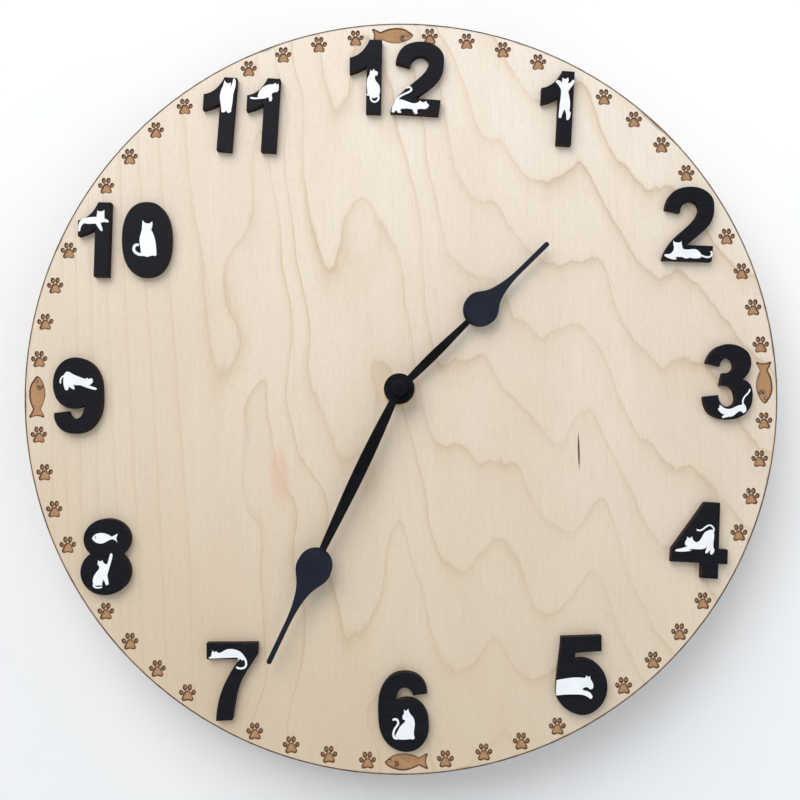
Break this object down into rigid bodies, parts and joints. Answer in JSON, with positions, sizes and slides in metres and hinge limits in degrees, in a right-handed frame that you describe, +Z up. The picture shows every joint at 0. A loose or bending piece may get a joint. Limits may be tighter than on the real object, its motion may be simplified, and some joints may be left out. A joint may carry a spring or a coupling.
{
  "type": "wall clock",
  "caption": "Round plywood wall clock with engraved paw and fish marks, raised numerals with white cat figures, two hands and a quartz movement.",
  "frame": {"origin": "on the hands' axis, at the rear face of the movement, which rests on the wall", "axes": "+Y points into the wall, the dial faces -Y, +Z points up to 12, +X points right to 3"},
  "size_m": [0.3, 0.0331, 0.3],
  "materials": {
    "birch_plywood": "pale birch plywood, fine sanded, laser-cut",
    "black_paint": "wood painted satin black, laser-cut sides",
    "white_acrylic": "satin white acrylic",
    "black_metal": "matt black lacquer on aluminium",
    "brass": "turned brass",
    "rubber": "black rubber",
    "zinc_steel": "zinc-plated steel",
    "black_plastic": "black moulded plastic, fine grain",
    "clear_white_plastic": "natural moulded plastic",
    "white_plastic": "white moulded acetal",
    "magnet": "bonded magnet on a plastic arbor",
    "core_steel": "soft magnetic steel",
    "copper_wire": "enamelled copper wire",
    "circuit_board": "green circuit board",
    "battery_sleeve": "plain battery sleeve with bare ends"
  },
  "bodies": {
    "clock": {"dial_board": "birch_plywood", "numeral_1": "black_paint", "numeral_2": "black_paint", "numeral_3": "black_paint", "numeral_4": "black_paint", "numeral_5": "black_paint", "numeral_6": "black_paint", "numeral_7": "black_paint", "numeral_8": "black_paint", "numeral_9": "black_paint", "numeral_10_one": "black_paint", "numeral_10_zero": "black_paint", "numeral_11_left": "black_paint", "numeral_11_right": "black_paint", "numeral_12_one": "black_paint", "numeral_12_two": "black_paint", "white_figure_1": "white_acrylic", "white_figure_2": "white_acrylic", "white_figure_3": "white_acrylic", "white_figure_4": "white_acrylic", "white_figure_5": "white_acrylic", "white_figure_6": "white_acrylic", "white_figure_7": "white_acrylic", "white_figure_8": "white_acrylic", "white_figure_9": "white_acrylic", "white_figure_10_one": "white_acrylic", "white_figure_10_zero": "white_acrylic", "white_figure_11_left": "white_acrylic", "white_figure_11_right": "white_acrylic", "white_figure_12_one": "white_acrylic", "white_figure_12_two": "white_acrylic", "brass_washer": "brass", "hex_nut": "brass", "rubber_washer": "rubber", "hanger_plate": "zinc_steel", "threaded_bushing": "brass", "case_front": "black_plastic", "case_back": "black_plastic", "middle_plate": "clear_white_plastic", "stator": "core_steel", "coil_core": "core_steel", "coil_bobbin": "white_plastic", "coil_winding": "copper_wire", "circuit_board": "circuit_board", "quartz_crystal": "zinc_steel", "positive_contact": "zinc_steel", "negative_contact": "zinc_steel"},
    "minute_hand_set": {"minute_hand": "black_metal", "cap_nut": "black_metal", "minute_arbor": "white_plastic"},
    "hour_hand_set": {"hour_hand": "black_metal", "hour_wheel": "white_plastic"},
    "motion_wheel": {"motion_wheel": "white_plastic"},
    "setting_knob": {"setting_knob": "white_plastic"},
    "rotor": {"rotor": "magnet"},
    "intermediate_wheel": {"intermediate_wheel": "white_plastic"},
    "second_wheel": {"second_wheel": "white_plastic"},
    "third_wheel": {"third_wheel": "white_plastic"},
    "centre_wheel": {"centre_wheel": "white_plastic"},
    "battery": {"battery": "battery_sleeve"}
  },
  "joints": [
    {"name": "minute_hand_spin", "type": "hinge", "parent": "clock", "child": "minute_hand_set", "pos_m": [0, -0.02, 0], "axis": [0, 1, 0], "continuous": true},
    {"name": "hour_hand_spin", "type": "hinge", "parent": "clock", "child": "hour_hand_set", "pos_m": [0, -0.02, 0], "axis": [0, 1, 0], "continuous": true},
    {"name": "motion_wheel_spin", "type": "hinge", "parent": "clock", "child": "motion_wheel", "pos_m": [0.00831, -0.0127, 0.0048], "axis": [0, 1, 0], "continuous": true},
    {"name": "setting_knob_spin", "type": "hinge", "parent": "clock", "child": "setting_knob", "pos_m": [0.01311, -0.007, 0.01311], "axis": [0, 1, 0], "continuous": true},
    {"name": "rotor_spin", "type": "hinge", "parent": "clock", "child": "rotor", "pos_m": [0.01283, -0.005, -0.00353], "axis": [0, 1, 0], "continuous": true},
    {"name": "intermediate_wheel_spin", "type": "hinge", "parent": "clock", "child": "intermediate_wheel", "pos_m": [0.00677, -0.007, -0.00246], "axis": [0, 1, 0], "continuous": true},
    {"name": "second_wheel_spin", "type": "hinge", "parent": "clock", "child": "second_wheel", "pos_m": [0, -0.008, 0], "axis": [0, 1, 0], "continuous": true},
    {"name": "third_wheel_spin", "type": "hinge", "parent": "clock", "child": "third_wheel", "pos_m": [-0.00779, -0.008, 0.0045], "axis": [0, 1, 0], "continuous": true},
    {"name": "centre_wheel_spin", "type": "hinge", "parent": "clock", "child": "centre_wheel", "pos_m": [0, -0.0117, 0], "axis": [0, 1, 0], "continuous": true},
    {"name": "battery_slide", "type": "slide", "parent": "clock", "child": "battery", "axis": [0, 1, 0], "range_m": [0, 0.018]}
  ],
  "couplings": [
    {"joint": "hour_hand_spin", "follows": "minute_hand_spin", "ratio": 0.083333},
    {"joint": "motion_wheel_spin", "follows": "minute_hand_spin", "ratio": -0.33333},
    {"joint": "setting_knob_spin", "follows": "minute_hand_spin", "ratio": 1},
    {"joint": "intermediate_wheel_spin", "follows": "rotor_spin", "ratio": -0.16667},
    {"joint": "second_wheel_spin", "follows": "rotor_spin", "ratio": 0.033333},
    {"joint": "third_wheel_spin", "follows": "rotor_spin", "ratio": -0.0041667},
    {"joint": "centre_wheel_spin", "follows": "rotor_spin", "ratio": 0.00055556}
  ]
}
